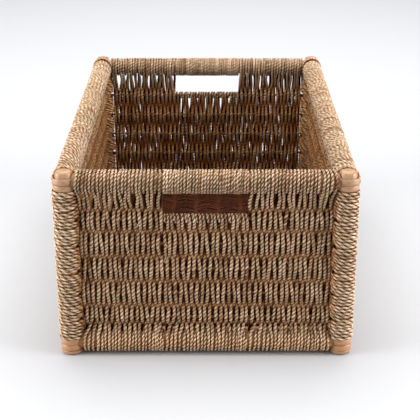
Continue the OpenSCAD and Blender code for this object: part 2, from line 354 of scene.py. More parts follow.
def new_mesh(name, verts, faces, smooth=True, attributes=None, uv=None):
    """A mesh object at the origin from points in millimetres and faces of one size each."""
    mesh = bpy.data.meshes.new(name)
    groups = [np.asarray(group, dtype=np.int64) for group in faces if len(group)]
    loops = np.concatenate([group.ravel() for group in groups])
    totals = np.concatenate([np.full(len(group), group.shape[1]) for group in groups])
    starts = np.concatenate([[0], np.cumsum(totals)[:-1]])
    mesh.vertices.add(len(verts))
    mesh.vertices.foreach_set("co", (verts / MM).astype(np.float32).ravel())
    mesh.loops.add(len(loops))
    mesh.loops.foreach_set("vertex_index", loops.astype(np.int32))
    mesh.polygons.add(len(totals))
    mesh.polygons.foreach_set("loop_start", starts.astype(np.int32))
    mesh.polygons.foreach_set("use_smooth", np.full(len(totals), smooth))
    for key, values in (attributes or {}).items():
        layer = mesh.attributes.new(key, "FLOAT_VECTOR", "POINT")
        layer.data.foreach_set("vector", values.astype(np.float32).ravel())
    if uv is not None:
        layer = mesh.uv_layers.new(name="OFBake")
        layer.data.foreach_set("uv", uv.astype(np.float32).ravel())
    mesh.update(calc_edges=True)
    if mesh.validate(clean_customdata=False):
        raise RuntimeError(f"{name}: the mesh was not sound")
    piece = bpy.data.objects.new(name, mesh)
    bpy.context.scene.collection.objects.link(piece)
    return piece


def tube_faces(rings, sides):
    """Quads of a tube of rings, from vertex nought: each joins two points of a ring to the
    same two of the next.
    """
    here = np.arange(rings - 1)[:, None] * sides
    k = np.arange(sides)
    after = (k + 1) % sides
    corners = [here + k, here + after, here + sides + after, here + sides + k]
    return np.stack(corners, axis=2).reshape(-1, 4)


def finish_piece(piece, slot, material, *nodes):
    """Rides the piece on the basket's one body, hides the nodes that it stands for and gives it its
    finish. The slot is not used.
    """
    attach(piece, "root")
    if nodes:
        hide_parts(*nodes)
    piece.data.materials.append(material)
    return piece


def cord_ends(first, last):
    """Two quads over each end of a cord, from the numbers of its end rings' first points."""
    corners = np.array([[5, 2, 1, 0], [5, 4, 3, 2], [0, 1, 2, 5], [2, 3, 4, 5]])
    return corners + np.array([first, first, last, last])[:, None]


def cord_map(strip, rings, per_row):
    """Map places of a cord's quads. Rings follow each other along rows of so many rings,
    the section runs up the row, and both ends share the place after the last ring.
    """
    sides = len(SECTION_ANGLE)
    strips = strip + np.arange(rings)
    u = (strips % per_row) / per_row
    v = strips // per_row
    margin, used = 0.06, 0.88
    up = v[:-1, None] + margin + used * np.arange(sides) / sides
    u0, v0 = np.broadcast_arrays(u[:-1, None], up)
    du, dv = 1 / per_row, used / sides
    corners = [(u0, v0), (u0, v0 + dv), (u0 + du, v0 + dv), (u0 + du, v0)]
    around = np.stack([np.stack(corner, axis=2) for corner in corners], axis=2).reshape(-1, 2)
    end_u = np.repeat(u[-1], 16) + np.tile([0.0, 0.0, du, du], 4) * 0.9
    end_v = v[-1] + margin + 0.22 * np.repeat(np.arange(4), 4) + np.tile([0, 0.18, 0.18, 0], 4)
    return np.concatenate([around, np.stack([end_u, end_v], axis=1)])


def cord_rings(points, length_axis, radius, turn, narrow):
    """Rings round a path, and the direction of each of their points from the path. A
    ring's frame is the length axis made square to the path's direction, and their cross
    product. The ring is pressed narrow along the first.
    """
    ahead = np.gradient(points, axis=0)
    ahead /= np.linalg.norm(ahead, axis=1, keepdims=True)
    across = length_axis - ahead * (ahead @ length_axis)[:, None]
    across /= np.linalg.norm(across, axis=1, keepdims=True)
    third = np.cross(ahead, across)[:, None, :]
    across = across[:, None, :]
    angle = turn[:, None] + SECTION_ANGLE
    facing = np.cos(angle)[..., None] * across + np.sin(angle)[..., None] * third
    squeeze = (narrow - 1) * np.cos(angle)
    pressed = facing + squeeze[..., None] * across
    reach = radius[:, None] * SECTION_R
    return points[:, None, :] + reach[..., None] * pressed, facing


def cord_shade(facing, way_out, far_out, inner, painted_warmth):
    """How deep in painted shade each point of a cord's rings lies, and how much painted
    warmth it gets. A point lies the deeper, the smaller its direction's dot product with the
    way out is; a cord in the middle of a wall is partly open on both sides. The crease
    between the plies is painted dark too.
    """
    looks_out = (facing * way_out[:, None, :]).sum(axis=2)
    middle = MIDDLE_OPEN * (1 - np.abs(far_out))
    is_open = looks_out * far_out + middle * np.abs(looks_out)
    inside = (1 - inner) * np.clip(0.5 - 2 * looks_out, 0, 1)
    hidden = eased(np.clip((FULLY_OPEN - is_open * (1 - inside)) / DARK_RANGE, 0, 1))
    depth = 1 - (1 - hidden) * (1 - CREASE_PAINTED_SHADE * SECTION_CREASE)
    return depth, np.clip(np.maximum(INSIDE_PAINTED_WARMTH * inside, painted_warmth), 0, 1)


def cord_piece(name, paths, length_axis, cord, rng, step, lay, paler=0.0):
    """Two-ply cord along each path. The section has two lobes and two valleys; it turns
    once per lay along the path, so each lobe is a right-handed helix. A path holds points
    and, beside each, the way out and how far out it lies, from minus one to one. The last
    columns say how open the side that looks back is, how narrow the cord is pressed, how
    much painted warmth it gets, and how much paler it is painted as light. The way out sets
    the painted shade.
    """
    sides = len(SECTION_ANGLE)
    around = np.stack([np.cos(SECTION_ANGLE), np.sin(SECTION_ANGLE)], axis=1)
    verts, strand, tint, warmth, quads, uvs = [], [], [], [], [], []
    first = strip = 0
    runs = [resampled(path, step) for path in paths]
    rings_in_all = sum(len(path) for s, path in runs)
    rows = max(1, math.ceil(math.sqrt(rings_in_all * step / (3.2 * cord.cord_d * MM * 1.15))))
    per_row = math.ceil((rings_in_all + 2 * len(runs)) / rows)
    for s, path in runs:
        n = len(path)
        far_out, inner, narrow, painted_warmth = (path[:, i : i + 1] for i in range(6, 10))
        thick = 1 + wander(rng, s, 18.0, 0.05) + wander(rng, s, 150.0, 0.04)
        radius = cord.cord_d * MM / 2 * thick
        turn = TAU * (s + wander(rng, s, 40.0, 1.3)) / (lay * MM) + rng.uniform(0, TAU)
        rings, facing = cord_rings(path[:, :3], length_axis, radius, turn, narrow)
        verts.append(rings.reshape(-1, 3))
        # Painted shade depth and painted warmth of each ring point
        depth, warm = cord_shade(facing, path[:, 3:6], far_out, inner, painted_warmth)
        warmth.append(np.repeat(warm.reshape(-1, 1), 3, axis=1))
        place = s + rng.uniform(0, 9000.0)
        place = np.repeat(place[:, None, None] * 0.12, sides, axis=1)
        section = np.broadcast_to(around, (n, sides, 2))
        strand.append(np.concatenate([place, section], axis=2).reshape(-1, 3))
        # Tone: the given paleness, the path's painted light and a random wander
        tone = paler + path[:, 10] + wander(rng, s, 55.0, 0.14) + wander(rng, s, 9.0, 0.1)
        ply = wander(rng, s, 30.0, 0.1)[:, None] * SECTION_PLY
        hue = 0.45 + wander(rng, s, 120.0, 0.2) + wander(rng, s, 25.0, 0.12)
        hue = np.clip(hue[:, None] + 0.5 * ply, 0, 1)
        tint.append(np.stack([tone[:, None] + ply, hue, depth], axis=2).reshape(-1, 3))

        quads.append(first + tube_faces(n, sides))
        quads.append(cord_ends(first, first + (n - 1) * sides))
        uvs.append(cord_map(strip, n, per_row))
        strip += n
        first += n * sides
    uv = np.concatenate(uvs)
    uv[:, 1] /= rows + 1
    attributes = {"strand": strand, "tint": tint, "warmth": warmth}
    attributes = {key: np.concatenate(parts) for key, parts in attributes.items()}
    return new_mesh(name, np.concatenate(verts), quads, attributes=attributes, uv=uv)


def belt(bobbins):
    """Arcs of a closed belt round bobbins in a line. Each bobbin is (height, radius): a
    radius above zero is passed anticlockwise and one below zero clockwise. A straight run
    leans by the arcsine of the radii's difference over the distance. Returns for each
    bobbin (height, radius, start angle, sweep).
    """
    lean = []
    for i, (height, radius) in enumerate(bobbins):
        height_2, radius_2 = bobbins[(i + 1) % len(bobbins)]
        rise = height_2 - height
        lean.append(math.copysign(math.pi / 2, rise) - math.asin((radius_2 - radius) / abs(rise)))
    arcs = []
    for i, (height, radius) in enumerate(bobbins):
        hand = math.copysign(1.0, radius)
        sweep = hand * ((hand * (lean[i] - lean[i - 1])) % TAU)
        arcs.append((height, abs(radius), lean[i - 1] - hand * math.pi / 2, sweep))
    return arcs


def arc_points(arc, turns=0):
    """Points (outwards, height) of an arc, with whole extra turns."""
    height, radius, start, sweep = arc
    whole = sweep + math.copysign(TAU * turns, sweep)
    theta = start + np.linspace(0, whole, max(4, int(abs(whole) * 9)))
    return np.stack([radius * np.cos(theta), height + radius * np.sin(theta)], axis=1)


def wrap_numbers(turns, sweep, columns_in, columns_out, count):
    """Strand numbers at the start and end of each wrap on one rail. The wraps' passes are
    evenly spaced, and all are moved together so that the columns lean as little as can be.
    """
    per_turn = count / (sum(turns) + len(turns))
    starts = per_turn * np.concatenate([[0], np.cumsum(np.array(turns) + 1)[:-1]])
    ends = starts + per_turn * (np.array(turns) + abs(sweep) / TAU)
    shift = np.mean(np.concatenate([columns_in - starts, columns_out - ends]))
    return starts + shift, ends + shift


def weave_cell(low, rods, top, low_turns, top_turns):
    """Strands up and down, as a cell that repeats: rows of (outwards, height, strand
    number). A strand stands at its own number between the outer rods and leans towards
    its place on a rail beyond them, by a smooth step of the height.
    """
    pairs = len(top_turns)
    arcs = belt([low, *rods[::-1], top, *rods])
    gaps = len(rods)
    up, top_arc, down, low_arc = arcs[1 : gaps + 1], arcs[gaps + 1], arcs[gaps + 2 :], arcs[0]
    up_at = 2.0 * np.arange(pairs) + 0.5
    down_at = up_at + 1.0
    count = 2.0 * pairs
    top_start, top_end = wrap_numbers(top_turns, top_arc[3], up_at, down_at, count)
    low_start, low_end = wrap_numbers(low_turns, low_arc[3], down_at, up_at + 2.0, count)
    high_rod, low_rod = rods[0][0], rods[-1][0]

    def column(column_arcs, at, low_number, top_number):
        flat = np.concatenate([arc_points(arc) for arc in column_arcs])
        over = np.clip((flat[:, 1] - high_rod) / (top[0] - high_rod), 0, 1)
        under = np.clip((low_rod - flat[:, 1]) / (low_rod - low[0]), 0, 1)
        lean = (top_number - at) * eased(over) + (low_number - at) * eased(under)
        return np.column_stack([flat, at + lean])

    def wrap(arc, turns, start, end):
        flat = arc_points(arc, turns)
        return np.column_stack([flat, np.linspace(start, end, len(flat))])

    parts = []
    for i in range(pairs):
        before = low_end[i - 1] - (count if i == 0 else 0.0)
        parts.append(column(up, up_at[i], before, top_start[i]))
        parts.append(wrap(top_arc, top_turns[i], top_start[i], top_end[i]))
        parts.append(column(down, down_at[i], low_start[i], top_end[i]))
        parts.append(wrap(low_arc, low_turns[i], low_start[i], low_end[i]))
    return np.concatenate(parts)


def repeated(cell, count, first, last):
    """The cell carried on from strand number first to last, count strands a time."""
    copies = max(1, int(round((last - first) / count)))
    tiles = np.tile(cell, (copies, 1))
    tiles[:, 2] += np.repeat(count * np.arange(copies), len(cell))
    stretch = (last - first) / (count * copies)
    tiles[:, 2] = first + tiles[:, 2] * stretch
    return tiles


def strand_places(wall_length, strands, spacing):
    """Strand number and place along a wall: the number grows with one over the spacing."""
    place = np.linspace(-wall_length / 2, wall_length / 2, 600)
    knots = np.linspace(-wall_length / 2, wall_length / 2, len(spacing))
    density = 1 / np.interp(place, knots, spacing)
    number = np.concatenate([[0.0], np.cumsum((density[1:] + density[:-1]) / 2)])
    return number / number[-1] * strands, place


def spread(along, height, bare_spots):
    """Pushes strands aside from each bare spot by a bell curve of the distance."""
    for spot, level, push in bare_spots:
        reach = np.exp(-(((along - spot) / 4.5) ** 2) - ((height - level) / 9.0) ** 2)
        along = along + push * reach * np.tanh((along - spot) / 0.8)
    return along


def filled(along, out, height, levels, ends):
    """Wraps on each rail stretched near both ends of a bay, so that none is left bare: on
    the outer and on the inner face the last wrap is moved to the bay's end.
    """
    fade_out, on_face = 9.0, 4.0
    for level in levels:
        fade = np.clip((RAIL_R + fade_out - np.abs(height - level)) / fade_out, 0, 1)
        for face in (1, -1):
            zone = (np.abs(height - level) < RAIL_R) & (out * face > on_face)
            if not zone.any():
                continue
            weight = fade * np.clip(0.5 + face * out / (2 * on_face), 0, 1)
            low, high = along[zone].min(), along[zone].max()
            near_low = np.clip(1 - (along - low) / FILL_REACH, 0, 1)
            near_high = np.clip(1 - (high - along) / FILL_REACH, 0, 1)
            push = near_low * (ends[0] - low) + near_high * (ends[1] - high)
            along = along + weight * push
    return along


def gathered(along, out, height, length):
    """Wraps near a wall's ends spread over the bare ends of the rails, on their outside."""
    reach, begin, rise = 20.0, 17.0, 13.0
    near_end = np.clip((np.abs(along) - (length / 2 - reach)) / reach, 0, 1)
    top = np.clip((height - (TOP_Z - begin)) / rise, 0, 1)
    low = np.clip((LOW_Z + begin - height) / rise, 0, 1)
    share = TOP_PUSH * eased(top) + LOW_PUSH * eased(low)
    outside = np.clip(0.45 + out / 20, 0, 1)
    return along + np.sign(along) * near_end * share * outside


def uneven(rng, along, height, ends):
    """A sideways pull that neighbouring strands share, from three slanted sine waves. It
    is strongest under the top rail, and fades out on the rails and at the ends of a bay.
    """
    pull = np.zeros_like(along)
    for wave, rise in ((8.5, 70.0), (14.0, -38.0), (23.0, 45.0)):
        phase = rng.uniform(0, TAU)
        pull += wave * np.sin(TAU * (along / wave + height / rise) + phase)
    from_rail = np.minimum(TOP_Z - height, height - LOW_Z) - RAIL_R
    from_end = np.minimum(along - ends[0], ends[1] - along)
    share = 0.019 + 0.011 * np.clip((height - TOP_Z + 36) / 12, 0, 1)
    return pull * share * np.clip(from_rail / 7, 0, 1) * np.clip(from_end / 7, 0, 1)


def open_air(out, height, wraps):
    """Ways to open air, outwards and upwards, and how far out each point lies. On a
    wrapped pole, given as height and radius, the way leads from its axis; elsewhere it is
    straight out.
    """
    way_out = np.ones_like(out)
    way_up = np.zeros_like(out)
    far_out = np.clip(out / FACE_OUT, -1, 1)
    for level, radius in wraps:
        on_pole = np.hypot(out, height - level) < radius * 1.2
        way_out = np.where(on_pole, out / radius, way_out)
        way_up = np.where(on_pole, (height - level) / radius, way_up)
        far_out = np.where(on_pole, 1.0, far_out)
    return way_out, way_up, far_out


def laid_out(
    path, places, axes, cord, rng, edge, wraps, bare_spots=(), bay=None, inner_shade=0.35
):
    """Points in space, with their ways to open air, from (outwards, height, number). The
    number becomes a place along the wall, and strands wander a little sideways and in
    depth. The way to open air, which sets the painted shade, grows short inside the basket,
    the more so the lower. The outside of the lower rails gets painted light, paler and
    warmer.
    """
    along_axis, out_axis, up_axis, origin = axes
    along = np.interp(path[:, 2], places[0], places[1])
    flat = np.stack([along, path[:, 0], path[:, 1]], axis=1)
    s, flat = resampled(flat, PATH_STEP)
    flat = averaged(flat, 5)
    loose = cord.looseness * MM
    out, height = flat[:, 1], flat[:, 2]
    way_out, way_up, far_out = open_air(out, height, wraps)
    along = flat[:, 0]
    half_cord = cord.cord_d * MM / 2
    if bay is not None:
        levels = [level for level, radius in wraps if radius > POLE_R + 4]
        ends = (bay[0] + half_cord, bay[1] - half_cord)
        along = filled(along, out, height, levels, ends)
        along = along + uneven(rng, along, height, bay)
    along = along + wander(rng, s, 70.0, loose * 0.5) + wander(rng, s, 10.0, loose * 0.8)
    along = spread(along, height, bare_spots)
    along = np.clip(along, edge[0] + half_cord, edge[1] - half_cord)
    if bay is not None:
        along = gathered(along, out, height, places[1][-1] * 2)
    out = out + wander(rng, s, 21.0, 0.22)
    points = (
        origin
        + along[:, None] * along_axis
        + out[:, None] * out_axis
        + height[:, None] * up_axis
    )
    # Painted shade inside the basket, the deeper the lower, also on the rails' inner side
    shade_top, shade_depth = TOP_Z + 4, 60.0
    inner = 1 - inner_shade * np.clip((shade_top - points[:, 2]) / shade_depth, 0, 1)
    rail = way_up != 0
    lit = np.where(rail & (out < 0), inner, 1.0)
    ways = (lit * way_out)[:, None] * out_axis + (lit * way_up)[:, None] * up_axis
    # Painted light on the outside of the lower rails, paler and warmer, and painted warmth in the
    # shade on the rails' inner side
    painted_low_light = np.clip(out / 4, 0, 1) * np.clip((LOW_Z + 12 - height) / 8, 0, 1)
    painted_low_light = painted_low_light * (bay is not None)
    painted_warmth = np.where(rail & (out < 0), 1.5 * (1 - inner), LOW_PAINTED_WARMTH * painted_low_light)
    inner = np.where(rail, 1.0, inner)
    under_rim = np.clip((height - TOP_Z + 26) / 8, 0, 1)
    width = WALL_WIDTH + (RIM_WIDTH - WALL_WIDTH) * under_rim
    narrow = np.where(rail, RAIL_WIDTH, width + 0.05 * np.abs(far_out))
    narrow = averaged(narrow[:, None], 9)
    paler = LOW_PAINTED_LIGHT * painted_low_light
    return np.column_stack([points, ways, far_out, inner, narrow, painted_warmth, paler])


def rod_heights(cord):
    """Heights of the wall rods from the top one down."""
    return np.linspace(ROD_HIGH[2] - ROD_R, ROD_LOW[2] + ROD_R, cord.rod_count)


def rod_radius(i, radius):
    """Rods are passed clockwise and anticlockwise by turns, the first one clockwise."""
    return -radius if i % 2 == 0 else radius


def wall_paths(side, cord, rng):
    """Cord paths of one wall, as three bays of a list of paths each. A wall with a hand
    hole has short strands there, turned over the first rod, and a plain coil on the rail.
    """
    along, out, distance, length = WALLS[side]
    axes = (np.array(along, float), np.array(out, float), np.array([0.0, 0.0, 1.0]))
    axes = (*axes, axes[1] * distance)
    half_cord = cord.cord_d * MM / 2 + cord.wrap_gap * MM
    rail = RAIL_R + half_cord
    rod = ROD_R + half_cord
    heights = rod_heights(cord)
    rods = [(z, rod_radius(i, rod)) for i, z in enumerate(heights)]
    low, top = (LOW_Z, rail), (TOP_Z, rail)
    wraps = [(LOW_Z, rail), (TOP_Z, rail)]
    strands = cord.side_strands if side in ("left", "right") else cord.front_strands
    places = strand_places(length, strands, SPACING[side])
    hand_hole = side in ("front", "back")
    cut = cord.hand_w * MM / 2 if hand_hole else length / 6
    marks = [0, *(2 * round(np.interp(x, places[1], places[0]) / 2) for x in (-cut, cut)), strands]
    whole = [-length / 2, -cut, cut, length / 2]
    places = (places[0], np.interp(places[1], np.interp(marks, *places), whole))
    bare = ((BARE_PLACE, heights[1], BARE_PUSH),) if side == "front" else ()
    bays = []
    for bay in range(3):
        first, last = marks[bay], marks[bay + 1]
        edge = (-length / 2, length / 2)
        near = wraps
        if hand_hole and bay == 1:
            edge = (-cut, cut)
            cell = weave_cell(low, rods[1:], (heights[0], -rod), (0, 1), (1, 0))
            turns = np.linspace(first, last, int((last - first) * 40))
            angle = TAU * (turns - first) + math.pi / 2
            coil = np.stack([rail * np.cos(angle), TOP_Z + rail * np.sin(angle), turns], axis=1)
            flat_paths = [repeated(cell, 4, first, last), coil]
            near = [*wraps, (heights[0], rod)]
        else:
            cell = weave_cell(low, rods, top, (0, 1), (1, 0))
            flat_paths = [repeated(cell, 4, first, last)]
        ends = np.interp([first, last], *places)
        bays.append(
            [laid_out(p, places, axes, cord, rng, edge, near, bare, ends) for p in flat_paths]
        )
    return bays, axes[0]


def base_paths(cord, rng):
    """Cord paths of the base, in two halves. Strands run from side pole to side pole."""
    half_cord = cord.cord_d * MM / 2 + cord.wrap_gap * MM
    pole = POLE_R + half_cord
    rod = ROD_R + half_cord
    spots = np.linspace(BASE_ROD_HIGH[0] - ROD_R, BASE_ROD_LOW[0] + ROD_R, cord.base_rod_count)
    rods = [(x, rod_radius(i, rod)) for i, x in enumerate(spots)]
    cell = weave_cell((-BASE_X, pole), rods, (BASE_X, pole), (0, 1), (1, 0))
    places = strand_places(BASE_LEN, cord.base_strands, (1.0, 1.03, 0.98, 1.02, 0.97, 1.0))
    along, out, up = np.array([[0.0, 1.0, 0.0], [0.0, 0.0, -1.0], [1.0, 0.0, 0.0]])
    axes = (along, out, up, np.array([0.0, 0.0, LOW_Z]))
    middle = 4 * round(cord.base_strands / 8)
    edge = (-BASE_LEN / 2, BASE_LEN / 2)
    wraps = [(-BASE_X, pole), (BASE_X, pole)]
    halves = []
    for first, last in ((0, middle), (middle, cord.base_strands)):
        cells = repeated(cell, 4, first, last)
        # Painted shade: the inside of the base is painted darker than the walls' inside
        halves.append(
            [laid_out(cells, places, axes, cord, rng, edge, wraps, inner_shade=1.2)]
        )
    return halves, axes[0]


def post_path(cord, rng):
    """Cord wound on the front left post: a helix whose turns are pushed together on the
    side of the rods, so that each rod passes between two turns. A turn's push fades with
    the cosine of the angle from the inner corner, and the turns meet on the outside. The
    first and last turns lie level.
    """
    half_cord = cord.cord_d * MM / 2
    radius = POST_R + cord.wrap_gap * MM + half_cord
    low, high = WIND_LOW[2] + half_cord, WIND_HIGH[2] - half_cord
    turns = round((high - low) / (cord.winding_pitch * MM))
    t = np.linspace(-0.9, turns + 0.9, (turns + 2) * 72)
    inside = np.clip(t, 0, turns)
    outer = math.radians(225)
    angle = outer + TAU * t
    level = low + (high - low) * inside / turns
    rods = np.sort(rod_heights(cord))
    middle = low + (high - low) * np.clip(np.floor(t) + 0.5, 0, turns) / turns
    stops = np.concatenate([[low - 1.0], rods, [high + 1.0]])
    group = np.clip(np.searchsorted(stops, middle) - 1, 0, len(stops) - 2)
    bottom, top = stops[group], stops[group + 1]
    clear = ROD_R + 0.5 * half_cord
    room = np.where(group == 0, 0.0, clear)
    room_top = np.where(group == len(stops) - 2, 0.0, clear)
    share = (middle - bottom) / (top - bottom)
    target = bottom + room + share * (top - room_top - bottom - room)
    near = eased(0.5 + 0.5 * np.cos(angle - math.radians(45)))
    z = level + near * (target - middle) * (inside == t)
    s = radius * TAU * t
    z = z + wander(rng, s, 15.0, 0.33)
    r = radius + wander(rng, s, 22.0, 0.18)
    # Painted shade, darkest where a turn dives in beside a wall, and painted warmth inside the basket
    from_wall = np.abs((np.degrees(angle) - 45 + 180) % 360 - 180)
    shade = np.interp(from_wall, [30, 50, 75, 112], [1.25, 0.6, 0.35, 1.3])
    painted_warmth = np.interp(from_wall, [40, 80], [1.0, 0.0])
    cos, sin = np.cos(angle), np.sin(angle)
    one = np.ones_like(z)
    ways = [shade * cos, shade * sin, 0 * z]
    return np.column_stack([r * cos, r * sin, z, *ways, one, one, one, painted_warmth, 0 * z])


def corner_arcs(rng):
    """Cord laid over the back of the front left post's top, behind its cap, where the wraps
    of the side rail run on: half ellipses across the post, one cord apart.
    """
    arcs = []
    half_width, height = 11.3, 13.1
    for y in (4.6, 7.9):
        t = np.radians(np.linspace(-28, 205, 60))
        top = height - 0.05 * y
        cos, sin = np.cos(t), np.sin(t)
        x = half_width * cos
        z = TOP_Z + top * sin
        lean = y + 0.6 * cos + wander(rng, t * 10, 6.0, 0.15)
        one = np.ones_like(t)
        none = 0 * t
        arcs.append(np.column_stack([x, lean, z, cos, none, sin, one, one, one, none, none]))
    return arcs


def at_corner(points, sx, sy):
    """Points made round the front left post's axis, put at corner sx, sy."""
    turned = points.copy()
    for first in range(0, min(points.shape[1], 6), 3):
        turned[:, first : first + 3] *= np.array([-sx, -sy, 1.0])
    turned[:, :3] += np.array([sx * POST_X, sy * POST_Y, 0.0])
    return turned


def ribbon_piece(name, shells, sx, sy):
    """Closed bands from grids (rings, points round the section, 3), with flat ends. The
    faces are turned over at the two corners that are mirror images.
    """
    verts, quads, fans, strand = [], [], [], []
    first = 0
    for seed, grid in enumerate(shells):
        rings, count = grid.shape[:2]
        last = first + (rings - 1) * count
        quads.append(first + tube_faces(rings, count))
        fans.append(np.stack([first + np.arange(count)[::-1], last + np.arange(count)]))
        verts.append(grid.reshape(-1, 3))
        step = np.linalg.norm(np.diff(grid.mean(axis=1), axis=0), axis=1)
        s = np.concatenate([[0.0], np.cumsum(step)])
        width = np.linalg.norm(grid - grid[:, :1], axis=2)
        s = np.broadcast_to(s[:, None], width.shape)
        strand.append(np.stack([s, width, 7.0 * seed + 0 * width], 2).reshape(-1, 3))
        first += rings * count
    points = at_corner(np.concatenate(verts), sx, sy)
    if sx * sy < 0:
        quads = [group[:, ::-1] for group in quads]
        fans = [group[:, ::-1] for group in fans]
    attributes = {"strand": np.concatenate(strand)}
    return new_mesh(name, points, [np.concatenate(quads), *fans], attributes=attributes)


def flat_section(low, high, count, crown, thick, shoulder=0.12):
    """Section of a peel strip between two edges: place across it and height above the
    pole, anticlockwise. The outer face is a low arch with rounded shoulders.
    """
    u = np.linspace(0, 1, count)
    across = low + (high - low) * (0.03 + 0.94 * u)
    arch = thick - crown * (2 * u - 1) ** 4
    arch[[0, -1]] -= shoulder * thick
    inner = np.array([[low + 0.1, 0.0], [high - 0.1, 0.0]])
    return np.concatenate([inner, np.stack([across, arch], axis=1)[::-1]])


def rail_notch(z, radius, rail_z):
    """Angle on a post at which a rail's side begins, by the rail's height there."""
    half = np.sqrt(np.clip((RAIL_R + PEEL_GAP) ** 2 - (z - rail_z) ** 2, 0, None))
    return np.arcsin(np.clip(half / radius, -1, 1))


def wound_turns(low, high, turns, inner, thick, rail_z, rng, outline=None):
    """Flat turns of peel from rail to rail round the outside of the front left post. The
    ends follow the rails; outline gives a radius by height where the pole is rounded.
    """
    shells = []
    edge_gap, crown, most_tilt = 0.02, 0.16, 0.25
    edges = np.linspace(low, high, turns + 1)
    for i in range(turns):
        section = flat_section(edges[i] + edge_gap, edges[i + 1] - edge_gap, 7, crown, thick)
        z, out = section[:, 0], section[:, 1]
        radius = inner + out
        if outline is not None:
            radius = np.minimum(radius, outline(z) - (thick - out))
        notch = rail_notch(z, radius, rail_z)
        share = np.linspace(0, 1, 41)[:, None]
        start, stop = math.pi / 2 + notch, TAU - notch
        angle = stop - share * (stop - start)
        tilt = rng.uniform(-most_tilt, most_tilt)
        level = z + tilt * np.sin(angle - math.radians(225)) + 0 * angle
        turn = np.stack([radius * np.cos(angle), radius * np.sin(angle), level], axis=2)
        shells.append(turn[:, ::-1])
    return shells


def cap_shell(peel):
    """A tongue of peel strips folded over the rounded top of the front left post. A
    point at x and y lies on the dome, whose height falls as a quarter circle near the
    rim; in front it goes straight down the post's outer face. The tongue's end is round:
    its half width shrinks as the square root of one minus the squared share of the end.
    """
    top = CAP_HIGH[2]
    flat = 4.75
    ball = CAP_R - flat
    end_start, end_length = -5.0, 7.2
    crown, shoulder, groove, groove_width = 0.12, 0.1, 0.16, 0.06
    thick = peel.peel_t * MM
    section = flat_section(-CAP_HALF_W, CAP_HALF_W, 37, crown, thick, shoulder)
    x0, out = section[:, 0], section[:, 1] - thick
    share = (x0[2:] + CAP_HALF_W) / (2 * CAP_HALF_W) * peel.cap_strips
    out[2:] -= groove * np.exp(-(((share - np.round(share)) / groove_width) ** 2))
    front = -np.sqrt(CAP_R**2 - x0**2)
    share = np.linspace(0, 1, 30)[:, None]
    y = front + (end_start + end_length * 0.985 - front) * np.sin(share * math.pi / 2)
    past = np.clip((y - end_start) / end_length, 0, 1)
    x = x0 * np.sqrt(1 - past**2)
    r = np.sqrt(x**2 + y**2)
    over = np.clip(r - flat, 0, ball)
    rise = np.sqrt(np.clip(ball**2 - over**2, 0, None))
    unit = np.stack([x, y], axis=2) / np.maximum(r, 1e-6)[..., None]
    dome_x = x + out * over / ball * unit[..., 0]
    dome_y = y + out * over / ball * unit[..., 1]
    dome = np.stack([dome_x, dome_y, top - ball + rise + out * rise / ball], axis=2)
    leg = np.linspace(0, 1, 6)[:-1, None]
    leg_end = CAP_LOW[2] + 1.0
    foot = np.broadcast_to(dome[:1], (len(leg), *dome.shape[1:])).copy()
    foot[..., 2] = leg_end + leg * (dome[0, :, 2] - CAP_LOW[2] - 1.0)
    return np.concatenate([foot, dome])[:, ::-1]


def foot_outline(z):
    """Radius of the rounded foot by height: a quarter circle, then straight."""
    ball = 4.5
    drop = np.clip(ball - z, 0, ball)
    return FOOT_R - ball + np.sqrt(ball**2 - drop**2)


def foot_ring():
    """The lowest turn of a foot, a full ring under the rails, closed on itself."""
    low, high = FOOT_LOW[2], LOW_Z - RAIL_R - 0.15
    z = np.linspace(low, high, 9)
    outer = np.stack([foot_outline(z) - 0.05, z], axis=1)
    inner = np.array([[POST_R + PEEL_GAP, high], [POST_R + PEEL_GAP, low]])
    section = np.concatenate([outer, inner])
    angle = np.linspace(0, TAU, 49)[::-1, None]
    radius = section[:, 0]
    level = section[:, 1] + 0 * angle
    return np.stack([radius * np.cos(angle), radius * np.sin(angle), level], axis=2)[:, ::-1]


def fibre_piece(name, roots, ways, lengths, rng, thicker=1.0):
    """Hair-thin fibres as three-sided tubes. A fibre leaves its root along its way and
    curls: point at share t is root plus way times t plus a bend times t squared.
    """
    count = len(roots)
    t = np.linspace(0, 1, 6)
    bend = rng.normal(0, 0.55, (count, 3))
    centre = (
        roots[:, None]
        + ways[:, None] * (lengths[:, None] * t)[..., None]
        + bend[:, None] * (lengths[:, None] * t**2)[..., None]
    )
    ahead = np.gradient(centre, axis=1)
    ahead /= np.linalg.norm(ahead, axis=2, keepdims=True)
    side = np.cross(ahead, np.array([0.31, 0.53, 0.79]))
    side /= np.linalg.norm(side, axis=2, keepdims=True)
    other = np.cross(ahead, side)
    thick = thicker * rng.uniform(0.05, 0.12, (count, 1)) * (1 - 0.6 * t)
    corner = np.array([0.0, TAU / 3, 2 * TAU / 3])
    ring = (
        centre[:, :, None]
        + (thick[..., None] * np.cos(corner))[..., None] * side[:, :, None]
        + (thick[..., None] * np.sin(corner))[..., None] * other[:, :, None]
    )
    start = np.arange(count)[:, None] * 18
    k = np.arange(3)
    quads = (start[..., None] + tube_faces(6, 3)).reshape(-1, 4)
    ends = np.concatenate([start + k[::-1], start + 15 + k])
    shade = np.zeros((count, 6, 3, 3))
    shade[..., 0] = rng.normal(0.15, 0.15, (count, 1, 1))
    shade[..., 1] = rng.uniform(0.3, 1.0, (count, 1, 1))
    strand = np.zeros((count, 6, 3, 3))
    strand[..., 0] = rng.uniform(0, 900, (count, 1, 1)) + t[:, None] * 0.5
    attributes = {"strand": strand.reshape(-1, 3), "tint": shade.reshape(-1, 3)}
    return new_mesh(name, ring.reshape(-1, 3), [quads, ends], attributes=attributes)


# ---------------------------------------------------------------- finishes


